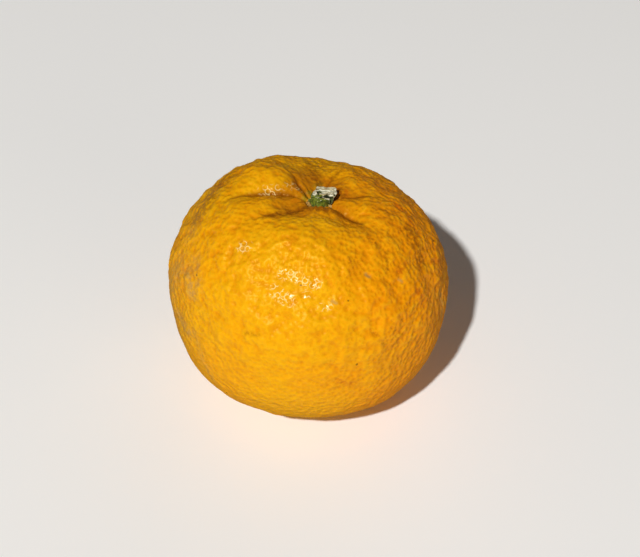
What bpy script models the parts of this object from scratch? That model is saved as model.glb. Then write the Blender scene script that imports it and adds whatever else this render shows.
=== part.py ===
"""A whole yuzu as picked, resting on a small flat spot with its stem end up.

Three pieces: the fruit with its knobbly rind, the green calyx in the dimple at its top, and the
short woody stub of the stem, which stands through the calyx in a socket in the fruit.
"""

import math
import random
from collections import namedtuple

import bpy
from mathutils import Matrix, Vector, noise

# Driving dimensions of the fruit, in metres. Its own axis runs from the blossom end to the stem
WIDTH = 0.0697
DEPTH = 0.0685
STEM_SIDE_HEIGHT = 0.0300
BLOSSOM_SIDE_HEIGHT = 0.0281
STEM_SIDE_FULLNESS = 2.2
BLOSSOM_SIDE_FULLNESS = 2.42
LEAN_RIGHT = math.radians(6.5)
LEAN_BACK = math.radians(3.5)
FLAT_SPOT_PRESS = 0.0007

# The dimple at the stem end: a wide dish with a pit in it, whose wall is nearer and steeper on its
# front side, below a low rim. The socket in its middle holds the stem
DIMPLE_DEPTH = 0.0015
DIMPLE_RADIUS = 0.0105
PIT_DEPTH = 0.0020
PIT_RADIUS = 0.0062
PIT_FRONT = math.radians(250)
PIT_FRONT_RADIUS = 0.0042
PIT_FRONT_STEEPNESS = 4.0
RIM_RISE = 0.0007
RIM_REACH = 0.0062
RIM_SPREAD = 0.0024
SOCKET_RADIUS = 0.0016
SOCKET_DEPTH = 0.0020
GAP = 0.0003

# Furrows run out from the stem between the shoulder lobes. near and far are a furrow's azimuth in
# degrees at its two ends, from +X towards +Y, and reach is how far from the stem it fades out. skew
# makes it wider on its anticlockwise side, crease is the share of its depth that is a sharp fold,
# and lobe is the rise of the lobe after it
Furrow = namedtuple("Furrow", "near far reach depth width skew crease lobe")
FURROWS = (
    Furrow(near=12, far=7, reach=0.0200, depth=0.0017, width=0.0020, skew=0.0, crease=0.4, lobe=-0.0015),
    Furrow(near=90, far=66, reach=0.0150, depth=0.0026, width=0.0020, skew=0.0, crease=0.5, lobe=-0.0012),
    Furrow(near=112, far=104, reach=0.0270, depth=0.0028, width=0.0038, skew=-0.3, crease=0.1, lobe=0.0002),
    Furrow(near=138, far=127, reach=0.0140, depth=0.0024, width=0.0020, skew=0.0, crease=0.6, lobe=0.0012),
    Furrow(near=163, far=188, reach=0.0275, depth=0.0040, width=0.0030, skew=0.4, crease=0.5, lobe=0.0009),
    Furrow(near=240, far=208, reach=0.0210, depth=0.0026, width=0.0034, skew=0.0, crease=0.3, lobe=0.0009),
    Furrow(near=325, far=317, reach=0.0205, depth=0.0036, width=0.0028, skew=-0.4, crease=0.4, lobe=0.0),
)
# A furrow starts and is full this far from the stem, and fades from this share of its reach on. It
# has its full width from FURROW_WIDE on, and FURROW_NARROWEST is the least share of it further in
FURROW_START = 0.0010
FURROW_FULL = 0.0040
FADE_FROM = 0.45
FURROW_WIDE = 0.0100
FURROW_NARROWEST = 0.35
# The soft and the sharp part of a furrow's cross-section, in furrow widths
CHANNEL_SPREAD = 2.2
CREASE_SPREAD = 0.5
# The lobes are highest at this polar angle, and LOBE_SHARE is their spread between two furrows
LOBE_POLAR = math.radians(32)
LOBE_SPREAD = math.radians(16)
LOBE_SHARE = 0.55

# Fine wrinkles that fan out round the stem
WRINKLES = 21
WRINKLE_DEPTH = 0.00016
WRINKLE_REACH = 0.0055
WRINKLE_SPREAD = 0.0030

# Broad swellings and hollows of the sides and foot, in degrees of azimuth and of polar angle from
# the stem end
Swelling = namedtuple("Swelling", "azimuth polar rise spread")
SWELLINGS = (
    Swelling(azimuth=232, polar=126, rise=0.0006, spread=32),
    Swelling(azimuth=318, polar=124, rise=0.0007, spread=32),
    Swelling(azimuth=196, polar=108, rise=-0.0010, spread=16),
    Swelling(azimuth=205, polar=165, rise=0.0009, spread=20),
)

# Unevenness of the rind: the size of the lumps and how far they stand out, coarse to fine. They
# calm down towards the stem
LUMPS = ((0.0160, 0.00080), (0.0070, 0.00060), (0.0035, 0.00036))
LUMP_SHIFT = Vector((3.1, 7.4, 1.9))
CALM_SHARE = 0.35
CALM_FROM = 0.0140
CALM_TO = 0.0040

# The blossom end: a small hollow with the scar of the style in it
BLOSSOM_HOLLOW_RADIUS = 0.0034
BLOSSOM_HOLLOW_DEPTH = 0.0014
SCAR_RADIUS = 0.0010
SCAR_HEIGHT = 0.0006
SCAR_EDGE = 0.0003

# The calyx: a green button with five dry lobes round it, from the azimuth of the first one on.
# It has a ring of points at each of these shares of the way from its hole to its edge
CALYX_BUTTON_RADIUS = 0.0028
CALYX_THICKNESS = 0.0009
CALYX_EDGE_THICKNESS = 0.0004
CALYX_LOBE_TIPS = (0.0034, 0.0033, 0.0042, 0.0031, 0.0036)
CALYX_FIRST_LOBE = math.radians(62)
CALYX_LOBE_SPREAD = math.radians(21)
CALYX_SHARES = (0.0, 0.35, 0.62, 0.85, 1.0)
CALYX_THINS_FROM = 0.5

# The stem's stub: a short oval woody neck with a thin root under it, torn off at the top
STEM_ROOT_RADIUS = 0.0012
NECK_HALF_WIDTH = 0.0024
NECK_HALF_DEPTH = 0.0020
NECK_HEIGHT = 0.0009
NECK_BEND = 0.0010
NECK_RIDGES = ((5, 0.05, 0.8), (9, 0.03, 0.0))
# Rings of points down the neck, by share of its height and of its width, and over the torn top
NECK_PROFILE = ((1.0, 1.0), (0.75, 0.98), (0.45, 0.99), (0.18, 1.05), (0.0, 1.12))
TORN_SHARES = (0.3, 0.6, 0.85)
TEAR_SLOPE = 0.0005
TEAR_HIGH_SIDE = math.radians(105)
TEAR_HEIGHT = 0.0004
TEAR_SEED = 5

# How finely the solids are cut into faces
FRUIT_COLUMNS = 94
DIMPLE_ROWS = 12
DIMPLE_POLAR = math.radians(19)
OUTER_ROWS = 44
COLUMN_CROWDING = 0.07
CALYX_COLUMNS = 60
STEM_COLUMNS = 36
SHARP_ANGLE = math.radians(50)


def ease(low, high, value):
    """0 at low and under, 1 at high and over, and smooth between them."""
    t = min(1.0, max(0.0, (value - low) / (high - low)))
    return t * t * (3 - 2 * t)


def bump(distance, spread):
    """1 at no distance, fading to nothing over about two spreads."""
    return math.exp(-((distance / spread) ** 2))


def turn_between(azimuth, other):
    """The signed turn from other to azimuth, in radians, the short way round."""
    return math.remainder(azimuth - other, math.tau)


def direction_of(polar, azimuth):
    """The unit vector at a polar angle from the stem end."""
    flat = math.sin(polar)
    return Vector((flat * math.cos(azimuth), flat * math.sin(azimuth), math.cos(polar)))


def smooth_radius(direction):
    """The fruit's radius before it gets its furrows and lumps: an oblate, full-shouldered round."""
    stem_side = direction.z > 0
    height = STEM_SIDE_HEIGHT if stem_side else BLOSSOM_SIDE_HEIGHT
    fullness = STEM_SIDE_FULLNESS if stem_side else BLOSSOM_SIDE_FULLNESS
    across = math.hypot(direction.x / (WIDTH / 2), direction.y / (DEPTH / 2))
    along = abs(direction.z) / height
    return (across**fullness + along**fullness) ** (-1 / fullness)


def dimple_dent(reach, azimuth):
    """How deep the dimple is here: the dish and the pit in it, less the rim at its front."""
    front = ease(-0.25, 0.85, math.cos(azimuth - PIT_FRONT))
    radius = PIT_RADIUS + (PIT_FRONT_RADIUS - PIT_RADIUS) * front
    steepness = 2 + (PIT_FRONT_STEEPNESS - 2) * front
    dish = DIMPLE_DEPTH * bump(reach, DIMPLE_RADIUS)
    rim = RIM_RISE * front * bump(reach - RIM_REACH, RIM_SPREAD)
    return dish + PIT_DEPTH * math.exp(-((reach / radius) ** steepness)) - rim


def furrow_azimuth(furrow, reach):
    """Where a furrow's line lies at this distance from the stem."""
    share = min(1.0, reach / furrow.reach)
    return math.radians(furrow.near + (furrow.far - furrow.near) * share)


def furrow_depth(furrow, reach, azimuth):
    """A soft channel with a sharp crease along its middle."""
    aside = reach * turn_between(azimuth, furrow_azimuth(furrow, reach))
    width = furrow.width * max(FURROW_NARROWEST, min(1.0, reach / FURROW_WIDE))
    width *= 1 + furrow.skew if aside > 0 else 1 - furrow.skew
    channel = bump(aside, CHANNEL_SPREAD * width)
    crease = math.exp(-abs(aside) / (CREASE_SPREAD * width))
    start = ease(FURROW_START, FURROW_FULL, reach)
    fade = 1 - ease(FADE_FROM * furrow.reach, furrow.reach, reach)
    profile = (1 - furrow.crease) * channel + furrow.crease * crease
    return furrow.depth * start * fade * profile


def lobe_rise(polar, azimuth):
    """How far the shoulder lobes stand up here."""
    total = 0.0
    for index, furrow in enumerate(FURROWS):
        following = FURROWS[(index + 1) % len(FURROWS)]
        width = math.radians((following.far - furrow.far) % 360)
        aside = turn_between(azimuth, math.radians(furrow.far) + width / 2)
        rise = furrow.lobe * bump(aside, LOBE_SHARE * width)
        total += rise * bump(polar - LOBE_POLAR, LOBE_SPREAD)
    return total


def wrinkle_rise(reach, azimuth):
    """The fan of fine wrinkles round the stem."""
    wave = math.sin(WRINKLES * azimuth + 2 * math.sin(3 * azimuth))
    return WRINKLE_DEPTH * wave * bump(reach - WRINKLE_REACH, WRINKLE_SPREAD)


def swelling_rise(direction):
    """How far the broad swellings stand out here."""
    total = 0.0
    for swelling in SWELLINGS:
        middle = direction_of(math.radians(swelling.polar), math.radians(swelling.azimuth))
        total += swelling.rise * bump(direction.angle(middle), math.radians(swelling.spread))
    return total


def lump_rise(direction, radius):
    """The rind's unevenness, calmer inside the dimple."""
    place = direction * radius
    rise = sum(height * noise.noise(place / size + LUMP_SHIFT) for size, height in LUMPS)
    waking = ease(CALM_TO, CALM_FROM, math.hypot(place.x, place.y))
    return rise * (CALM_SHARE + (1 - CALM_SHARE) * waking)


def blossom_dent(direction, radius):
    """The hollow at the blossom end, less the scar that stands in it."""
    if direction.z > 0:
        return 0.0
    reach = radius * math.hypot(direction.x, direction.y)
    hollow = BLOSSOM_HOLLOW_DEPTH * bump(reach, BLOSSOM_HOLLOW_RADIUS)
    return hollow - SCAR_HEIGHT * (1 - ease(SCAR_RADIUS - SCAR_EDGE, SCAR_RADIUS + SCAR_EDGE, reach))


def rind_point(polar, azimuth):
    """The surface of the fruit, about its own centre and along its own axis."""
    direction = direction_of(polar, azimuth)
    radius = smooth_radius(direction)
    reach = radius * math.sin(polar)
    rise = lobe_rise(polar, azimuth) + swelling_rise(direction) + lump_rise(direction, radius)
    if direction.z > 0:
        rise -= dimple_dent(reach, azimuth)
        rise -= sum(furrow_depth(furrow, reach, azimuth) for furrow in FURROWS)
        rise += wrinkle_rise(reach, azimuth)
    rise -= blossom_dent(direction, radius)
    return direction * (radius + rise)


def dimple_floor(x, y):
    """The height of the rind over a point near the stem, in the fruit's own frame."""
    reach, azimuth = math.hypot(x, y), math.atan2(y, x)
    height = STEM_SIDE_HEIGHT
    for _ in range(5):
        height = rind_point(math.atan2(reach, height), azimuth).z
    return height


def column_azimuths(reach):
    """The fruit's columns of points: each furrow has one along it, and they crowd towards it."""
    azimuths = []
    for index, furrow in enumerate(FURROWS):
        following = FURROWS[(index + 1) % len(FURROWS)]
        start = furrow_azimuth(furrow, reach)
        width = (furrow_azimuth(following, reach) - start) % math.tau
        far_width = (following.far - furrow.far) % 360
        count = round(FRUIT_COLUMNS * far_width / 360)
        for step in range(count):
            share = step / count
            share -= COLUMN_CROWDING * math.sin(math.tau * share)
            azimuths.append(start + width * share)
    return azimuths


def ring_polars(floor):
    """The polar angles of the fruit's rings: close together in the dimple, and wider outside it."""
    first = math.atan2(SOCKET_RADIUS, floor)
    dimple = [first + (DIMPLE_POLAR - first) * row / DIMPLE_ROWS for row in range(DIMPLE_ROWS)]
    outer = [DIMPLE_POLAR + (math.pi - DIMPLE_POLAR) * row / OUTER_ROWS for row in range(OUTER_ROWS)]
    return dimple + outer


def fruit_rings():
    """Rings of points from the stem's socket down to the blossom end."""
    floor = dimple_floor(0, 0)
    rings = []
    for polar in ring_polars(floor):
        reach = smooth_radius(direction_of(polar, 0)) * math.sin(polar)
        rings.append([rind_point(polar, azimuth) for azimuth in column_azimuths(reach)])
    bottom = floor - SOCKET_DEPTH
    socket = [Vector((point.x, point.y, bottom)) for point in rings[0]]
    return [socket, *rings]


def skin_faces(ring_count, columns):
    """Quads between rings of points, and a fan to a point at each end."""
    faces = []
    top, bottom = ring_count * columns, ring_count * columns + 1
    for column in range(columns):
        after = (column + 1) % columns
        faces.append((top, column, after))
        for ring in range(ring_count - 1):
            upper, lower = ring * columns, (ring + 1) * columns
            faces.append((upper + column, lower + column, lower + after, upper + after))
        last = (ring_count - 1) * columns
        faces.append((last + column, bottom, last + after))
    return faces


def rest_on_ground(points):
    """Leans the fruit, flattens its lowest spot and stands it on Z = 0, centred over the origin.

    Returns the points and the matrix that carries the fruit's own frame there.
    """
    lean = Matrix.Rotation(LEAN_RIGHT, 4, "Y") @ Matrix.Rotation(-LEAN_BACK, 4, "X")
    leaning = [lean @ point for point in points]
    ground = min(point.z for point in leaning) + FLAT_SPOT_PRESS
    middle_x = (min(p.x for p in leaning) + max(p.x for p in leaning)) / 2
    middle_y = (min(p.y for p in leaning) + max(p.y for p in leaning)) / 2
    shift = Vector((-middle_x, -middle_y, -ground))
    rested = [point + shift for point in leaning]
    for point in rested:
        point.z = max(0.0, point.z)
    return rested, Matrix.Translation(shift) @ lean


def make_material(name, colour, roughness):
    material = bpy.data.materials.new(name)
    material.use_nodes = True
    shader = material.node_tree.nodes["Principled BSDF"]
    shader.inputs["Base Color"].default_value = (*colour, 1.0)
    shader.inputs["Roughness"].default_value = roughness
    shader.inputs["Metallic"].default_value = 0.0
    return material


def make_object(name, points, faces, material):
    mesh = bpy.data.meshes.new(name)
    mesh.from_pydata(points, [], faces)
    mesh.materials.append(material)
    mesh.shade_smooth()
    mesh.set_sharp_from_angle(angle=SHARP_ANGLE)
    made = bpy.data.objects.new(name, mesh)
    bpy.context.scene.collection.objects.link(made)
    return made


def make_fruit():
    """The fruit, and the matrix that carries its own frame to where it rests."""
    rings = fruit_rings()
    columns = len(rings[0])
    points = [point for ring in rings for point in ring]
    socket_middle = Vector((0, 0, rings[0][0].z))
    points += [socket_middle, rind_point(math.pi, 0)]
    rested, placing = rest_on_ground(points)
    rind = make_material("rind", (0.84, 0.40, 0.015), 0.42)
    make_object("fruit", rested, skin_faces(len(rings), columns), rind)
    return placing


def calyx_edge(azimuth):
    """The calyx's outline: the button's round, with a blunt lobe out to each tip."""
    edge = CALYX_BUTTON_RADIUS
    for index, tip in enumerate(CALYX_LOBE_TIPS):
        middle = CALYX_FIRST_LOBE + index * math.tau / len(CALYX_LOBE_TIPS)
        aside = turn_between(azimuth, middle)
        edge += (tip - CALYX_BUTTON_RADIUS) * bump(aside, CALYX_LOBE_SPREAD)
    return edge


def calyx_rings(floor):
    """Rings from the inside of the hole, over the top and back under it. Heights are above floor.

    The underside follows the dimple's floor, and the lobes thin out and droop on to it.
    """
    azimuths = [math.tau * column / CALYX_COLUMNS for column in range(CALYX_COLUMNS)]
    hole = STEM_ROOT_RADIUS + GAP
    rings = []
    for share in CALYX_SHARES:
        thinning = ease(CALYX_THINS_FROM, 1.0, share)
        thickness = CALYX_THICKNESS + (CALYX_EDGE_THICKNESS - CALYX_THICKNESS) * thinning
        ring = []
        for azimuth in azimuths:
            reach = hole + (calyx_edge(azimuth) - hole) * share
            x, y = reach * math.cos(azimuth), reach * math.sin(azimuth)
            under = dimple_floor(x, y) - floor + GAP
            ring.append((Vector((x, y, under + thickness)), Vector((x, y, under))))
        rings.append(ring)
    upper = [[point[0] for point in ring] for ring in rings]
    lower = [[point[1] for point in ring] for ring in reversed(rings)]
    return upper + lower


def make_calyx(floor, parent):
    rings = calyx_rings(floor)
    points = [point for ring in rings for point in ring]
    faces = []
    for ring in range(len(rings)):
        here, following = ring * CALYX_COLUMNS, (ring + 1) % len(rings) * CALYX_COLUMNS
        for column in range(CALYX_COLUMNS):
            after = (column + 1) % CALYX_COLUMNS
            faces.append((here + column, following + column, following + after, here + after))
    green = make_material("calyx_green", (0.16, 0.20, 0.035), 0.6)
    calyx = make_object("calyx", points, faces, green)
    calyx.parent = parent
    return calyx


def tear_waves():
    """The ragged waves round the torn top: how many, how much of TEAR_HEIGHT and where they start."""
    chance = random.Random(TEAR_SEED)
    return [(count, chance.uniform(0.2, 0.5), chance.uniform(0, math.tau)) for count in (2, 5, 9)]


def torn_height(azimuth, share, waves):
    """The height of the torn top over the neck's foot, at this share of the way out from its middle."""
    height = NECK_HEIGHT + TEAR_SLOPE * share * math.cos(azimuth - TEAR_HIGH_SIDE)
    for count, part, phase in waves:
        height += TEAR_HEIGHT * part * share * math.sin(count * azimuth + phase + 3 * share)
    return height


def neck_point(azimuth, width, height):
    """A point of the neck, which is oval, ridged along its length and bends over as it rises."""
    ridged = width * (1 + sum(part * math.sin(count * azimuth + at) for count, part, at in NECK_RIDGES))
    x = NECK_HALF_WIDTH * ridged * math.cos(azimuth) + NECK_BEND * height / NECK_HEIGHT
    y = NECK_HALF_DEPTH * ridged * math.sin(azimuth)
    return Vector((x, y, height))


def stem_rings(root_length):
    """Rings from near the middle of the torn top, down the neck to its foot at 0, and down the root."""
    waves = tear_waves()
    azimuths = [math.tau * column / STEM_COLUMNS for column in range(STEM_COLUMNS)]
    rings = []
    for share in TORN_SHARES:
        rings.append([neck_point(a, share, torn_height(a, share, waves)) for a in azimuths])
    for level, width in NECK_PROFILE:
        rings.append([neck_point(a, width, torn_height(a, 1.0, waves) * level) for a in azimuths])
    for depth in (0.0, root_length):
        down = Vector((0, 0, -depth))
        rings.append([STEM_ROOT_RADIUS * direction_of(math.pi / 2, a) + down for a in azimuths])
    return rings


def make_stem(foot, parent):
    """The stub, with its neck's foot at this height over the floor of the dimple."""
    root_length = foot + SOCKET_DEPTH - GAP
    rings = stem_rings(root_length)
    points = [point for ring in rings for point in ring]
    points += [neck_point(0, 0, NECK_HEIGHT), Vector((0, 0, -root_length))]
    woody = make_material("stem_wood", (0.46, 0.43, 0.29), 0.8)
    stem = make_object("stem", points, skin_faces(len(rings), STEM_COLUMNS), woody)
    stem.location.z = foot
    stem.parent = parent
    return stem


def main():
    for old in list(bpy.data.objects):
        bpy.data.objects.remove(old)
    placing = make_fruit()
    floor = dimple_floor(0, 0)
    stem_end = bpy.data.objects.new("stem_end", None)
    stem_end.empty_display_size = 0.01
    stem_end.matrix_world = placing @ Matrix.Translation((0, 0, floor))
    bpy.context.scene.collection.objects.link(stem_end)
    calyx = make_calyx(floor, stem_end)
    calyx_top = max(vertex.co.z for vertex in calyx.data.vertices)
    make_stem(calyx_top + GAP, stem_end)


main()
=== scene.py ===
"""How the yuzu looks. Each CAD node gets a finer piece in its place.

The rind repeats the CAD formula at a finer spacing and adds what is too fine for a solid: the oil
glands, small lumps and wrinkles. The calyx and the torn stub of the stem are modelled the same way.
"""

import math
from collections import namedtuple

import bpy
import numpy as np
from mathutils import Matrix, Vector, kdtree, noise


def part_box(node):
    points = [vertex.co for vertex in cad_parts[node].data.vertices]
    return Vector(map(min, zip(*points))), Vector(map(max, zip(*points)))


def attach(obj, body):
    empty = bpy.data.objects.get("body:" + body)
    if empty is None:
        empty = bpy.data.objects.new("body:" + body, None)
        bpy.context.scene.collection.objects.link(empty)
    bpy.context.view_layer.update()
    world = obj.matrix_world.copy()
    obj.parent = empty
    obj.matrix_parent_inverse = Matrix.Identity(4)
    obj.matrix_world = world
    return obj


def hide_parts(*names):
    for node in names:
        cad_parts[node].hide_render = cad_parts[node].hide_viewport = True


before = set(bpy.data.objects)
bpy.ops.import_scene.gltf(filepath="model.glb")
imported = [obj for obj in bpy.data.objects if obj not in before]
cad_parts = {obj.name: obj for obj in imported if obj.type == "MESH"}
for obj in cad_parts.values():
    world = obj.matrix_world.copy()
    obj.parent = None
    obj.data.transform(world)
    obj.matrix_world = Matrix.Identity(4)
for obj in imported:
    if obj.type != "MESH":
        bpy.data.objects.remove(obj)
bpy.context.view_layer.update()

BODY = "root"
MM = 0.001

# The CAD's driving dimensions, in metres: the fruit's round, its lean and its dimple
WIDTH = 0.0697
DEPTH = 0.0685
STEM_SIDE_HEIGHT = 0.0300
BLOSSOM_SIDE_HEIGHT = 0.0281
STEM_SIDE_FULLNESS = 2.2
BLOSSOM_SIDE_FULLNESS = 2.42
LEAN_RIGHT = math.radians(6.5)
LEAN_BACK = math.radians(3.5)
DIMPLE_DEPTH = 0.0015
DIMPLE_RADIUS = 0.0105
PIT_DEPTH = 0.0020
PIT_RADIUS = 0.0062
PIT_STEEPNESS = 2.0
PIT_FRONT = math.radians(250)
PIT_FRONT_RADIUS = 0.0042
PIT_FRONT_STEEPNESS = 4.0
# The cosines of the turn from the pit's front between which its front form takes over
PIT_FRONT_COSINES = (-0.25, 0.85)
RIM_RISE = 0.0007
RIM_REACH = 0.0062
RIM_SPREAD = 0.0024

# The CAD's furrows between the shoulder lobes, in degrees of azimuth and metres: near is a furrow's
# azimuth at the stem and far the one at its end, and lobe is the rise of the lobe after it
Furrow = namedtuple("Furrow", "near far reach depth width skew crease lobe")
FURROWS = (
    Furrow(12, 7, 0.0200, 0.0017, 0.0020, 0.0, 0.4, -0.0015),
    Furrow(90, 66, 0.0150, 0.0026, 0.0020, 0.0, 0.5, -0.0012),
    Furrow(112, 104, 0.0270, 0.0028, 0.0038, -0.3, 0.1, 0.0002),
    Furrow(138, 127, 0.0140, 0.0024, 0.0020, 0.0, 0.6, 0.0012),
    Furrow(163, 188, 0.0275, 0.0040, 0.0030, 0.4, 0.5, 0.0009),
    Furrow(240, 208, 0.0210, 0.0026, 0.0034, 0.0, 0.3, 0.0009),
    Furrow(325, 317, 0.0205, 0.0036, 0.0028, -0.4, 0.4, 0.0),
)
FURROW_START = 0.0010
FURROW_FULL = 0.0040
FURROW_WIDE = 0.0100
FURROW_NARROWEST = 0.35
FADE_FROM = 0.45
CHANNEL_SPREAD = 2.2
CREASE_SPREAD = 0.5
LOBE_POLAR = math.radians(32)
LOBE_SPREAD = math.radians(16)
LOBE_SHARE = 0.55

# The CAD's swellings, wrinkles, lumps and blossom end
WRINKLES = 21
WRINKLE_DEPTH = 0.00016
WRINKLE_REACH = 0.0055
WRINKLE_SPREAD = 0.0030
WRINKLE_SWAYS = 3
WRINKLE_SWAY = 2.0
Swelling = namedtuple("Swelling", "azimuth polar rise spread")
SWELLINGS = (
    Swelling(232, 126, 0.0006, 32),
    Swelling(318, 124, 0.0007, 32),
    Swelling(196, 108, -0.0010, 16),
    Swelling(205, 165, 0.0009, 20),
)
LUMPS = ((0.0160, 0.00080), (0.0070, 0.00060), (0.0035, 0.00036))
LUMP_SHIFT = np.array((3.1, 7.4, 1.9))
CALM_SHARE = 0.35
CALM_FROM = 0.0140
CALM_TO = 0.0040
BLOSSOM_HOLLOW_RADIUS = 0.0034
BLOSSOM_HOLLOW_DEPTH = 0.0014
SCAR_RADIUS = 0.0010
SCAR_HEIGHT = 0.0006
SCAR_EDGE = 0.0003

# The rind's mesh: a cube's faces cut into this many strips and blown up to a round, with the
# spacing drawn in towards the stem. The margin keeps the faces apart in the UV map, and the rounds
# close in on the rind's height over a place
CUBE_STRIPS = 128
STEM_CROWDING = 0.16
ATLAS_MARGIN = 0.01
HEIGHT_ROUNDS = 5

# The fine rind's small lumps, by size and height in metres, and its folds gathered towards the stem,
# by fineness, length and height. Lumps get weaker from the first polar angle to the second
FINE_LUMPS = ((0.0025, 0.00024), (0.0012, 0.00020))
FINE_SQUASH = np.array((1.0, 1.0, 1.25))
FINE_CALM_SHARE = 0.55
SMOOTH_BELOW = (math.radians(68), math.radians(108))
SMOOTH_SHARE = 0.65
GATHERS = ((9.0, 0.0060, 0.00022), (19.0, 0.0040, 0.00015))
GATHER_FROM = 0.0030
GATHER_TO = 0.0170

# The oil glands. The jitter is in spacings, and each gland then moves away from its nearest ones by a
# share of what they lack to the full spacing
GLAND_SEED = 11
GLAND_SPACING = 0.0014
GLAND_JITTER = 0.45
GLAND_NEIGHBOURS = 3
GLAND_PUSH = 0.25
GLAND_SINK = 0.00034
GLAND_RADIUS = 0.00066
GLAND_DENT = 0.00011
GLAND_CALM_SHARE = 0.3
GLANDS_NEAR = 4
RIDGE_ROUND = 0.0005

# How strongly painted shade darkens the rind down in its dimple, its furrows and its blossom end's hollow,
# and draws dark lines along the furrows' creases; the blossom end's scar gets its own darker colour
DIMPLE_SHADE = 0.75
FURROW_SHADE = 0.85
BLOSSOM_SHADE = 0.8
DEEPEST_SHADE = 1.2
CREASE_LINE = 0.35
CREASE_SHADE = 2.0
SCAR_TONE_EDGE = (0.8 * SCAR_RADIUS, 1.3 * SCAR_RADIUS)


def ease(low, high, value):
    """0 at low and under, 1 at high and over, and smooth between them."""
    t = np.clip((value - low) / (high - low), 0.0, 1.0)
    return t * t * (3 - 2 * t)


def bump(distance, spread):
    """1 at no distance, fading to nothing over about two spreads."""
    return np.exp(-((distance / spread) ** 2))


def turn_between(azimuth, other):
    """The signed turn from other to azimuth, in radians, the short way round."""
    return (azimuth - other + math.pi) % math.tau - math.pi


def lengths(vectors):
    return np.linalg.norm(vectors, axis=-1)


def direction_of(polar, azimuth):
    """The unit vector at a polar angle from the stem end."""
    flat = np.sin(polar)
    return np.stack([flat * np.cos(azimuth), flat * np.sin(azimuth), np.cos(polar)], axis=-1)


def angles_of(directions):
    """The polar angles from the stem end and the azimuths of unit vectors."""
    return np.arccos(np.clip(directions[:, 2], -1, 1)), np.arctan2(directions[:, 1], directions[:, 0])


def perlin(places, size, shift=(0.0, 0.0, 0.0)):
    """Smooth noise of about -1 to 1, with lumps of this size."""
    return np.array([noise.noise(place) for place in (places / size + shift).tolist()])


def smooth_radius(directions):
    """The fruit's radius before it gets its furrows and lumps."""
    stem_side = directions[:, 2] > 0
    height = np.where(stem_side, STEM_SIDE_HEIGHT, BLOSSOM_SIDE_HEIGHT)
    fullness = np.where(stem_side, STEM_SIDE_FULLNESS, BLOSSOM_SIDE_FULLNESS)
    across = np.hypot(directions[:, 0] / (WIDTH / 2), directions[:, 1] / (DEPTH / 2))
    along = np.abs(directions[:, 2]) / height
    return (across**fullness + along**fullness) ** (-1 / fullness)


def dimple_dent(reach, azimuth):
    """The dimple at the stem end: a wide dish with a pit in it, steepest and with a rim at its front."""
    front = ease(*PIT_FRONT_COSINES, np.cos(azimuth - PIT_FRONT))
    radius = PIT_RADIUS + (PIT_FRONT_RADIUS - PIT_RADIUS) * front
    steepness = PIT_STEEPNESS + (PIT_FRONT_STEEPNESS - PIT_STEEPNESS) * front
    pit = PIT_DEPTH * np.exp(-((reach / radius) ** steepness))
    rim = RIM_RISE * front * bump(reach - RIM_REACH, RIM_SPREAD)
    return DIMPLE_DEPTH * bump(reach, DIMPLE_RADIUS) + pit - rim


def furrow_aside(furrow, reach, azimuth):
    """How far a point lies to the side of a furrow's line, in widths of that side."""
    share = np.minimum(1.0, reach / furrow.reach)
    middle = np.radians(furrow.near + (furrow.far - furrow.near) * share)
    aside = reach * turn_between(azimuth, middle)
    width = furrow.width * np.clip(reach / FURROW_WIDE, FURROW_NARROWEST, 1.0)
    return np.abs(aside) / (width * np.where(aside > 0, 1 + furrow.skew, 1 - furrow.skew))


def furrow_hold(furrow, reach):
    """How strong a furrow is at this distance from the stem, from 0 to 1."""
    return ease(FURROW_START, FURROW_FULL, reach) * (1 - ease(FADE_FROM * furrow.reach, furrow.reach, reach))


def furrow_depth(furrow, reach, azimuth):
    """A soft channel with a sharp crease along its middle."""
    aside = furrow_aside(furrow, reach, azimuth)
    channel = bump(aside, CHANNEL_SPREAD)
    crease = np.exp(-aside / CREASE_SPREAD)
    profile = (1 - furrow.crease) * channel + furrow.crease * crease
    return furrow.depth * furrow_hold(furrow, reach) * profile


def lobe_rise(polar, azimuth):
    """How far the shoulder lobes stand up."""
    total = np.zeros_like(polar)
    for index, furrow in enumerate(FURROWS):
        following = FURROWS[(index + 1) % len(FURROWS)]
        width = math.radians((following.far - furrow.far) % 360)
        aside = turn_between(azimuth, math.radians(furrow.far) + width / 2)
        total += furrow.lobe * bump(aside, LOBE_SHARE * width) * bump(polar - LOBE_POLAR, LOBE_SPREAD)
    return total


def swelling_rise(directions):
    """How far the broad swellings stand out."""
    total = np.zeros(len(directions))
    for swelling in SWELLINGS:
        middle = direction_of(math.radians(swelling.polar), math.radians(swelling.azimuth))
        angle = np.arccos(np.clip(directions @ middle, -1, 1))
        total += swelling.rise * bump(angle, math.radians(swelling.spread))
    return total


def waking(places, calm_share):
    """The calm share in the middle of the dimple, rising to 1 outside it."""
    return calm_share + (1 - calm_share) * ease(CALM_TO, CALM_FROM, np.hypot(places[:, 0], places[:, 1]))


def lump_rise(places):
    rise = sum(height * perlin(places, size, LUMP_SHIFT) for size, height in LUMPS)
    return rise * waking(places, CALM_SHARE)


def fine_rise(places):
    """The small lumps, which are wider round the fruit than they are along it."""
    rise = sum(height * perlin(places * FINE_SQUASH, size, LUMP_SHIFT) for size, height in FINE_LUMPS)
    return rise * waking(places, FINE_CALM_SHARE)


def lump_strength(polar):
    """1 on the fruit's upper side and less below, where the fine rind is smoother."""
    return 1 - SMOOTH_SHARE * ease(*SMOOTH_BELOW, polar)


def gather_rise(reach, azimuth):
    """The rind gathered into fine folds towards the stem."""
    rise = np.zeros_like(reach)
    for fineness, length, height in GATHERS:
        around = np.stack([fineness * np.cos(azimuth), fineness * np.sin(azimuth), reach / length], axis=-1)
        rise += height * perlin(around, 1.0)
    return rise * ease(0.0, GATHER_FROM, reach) * (1 - ease(GATHER_FROM, GATHER_TO, reach))


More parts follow.
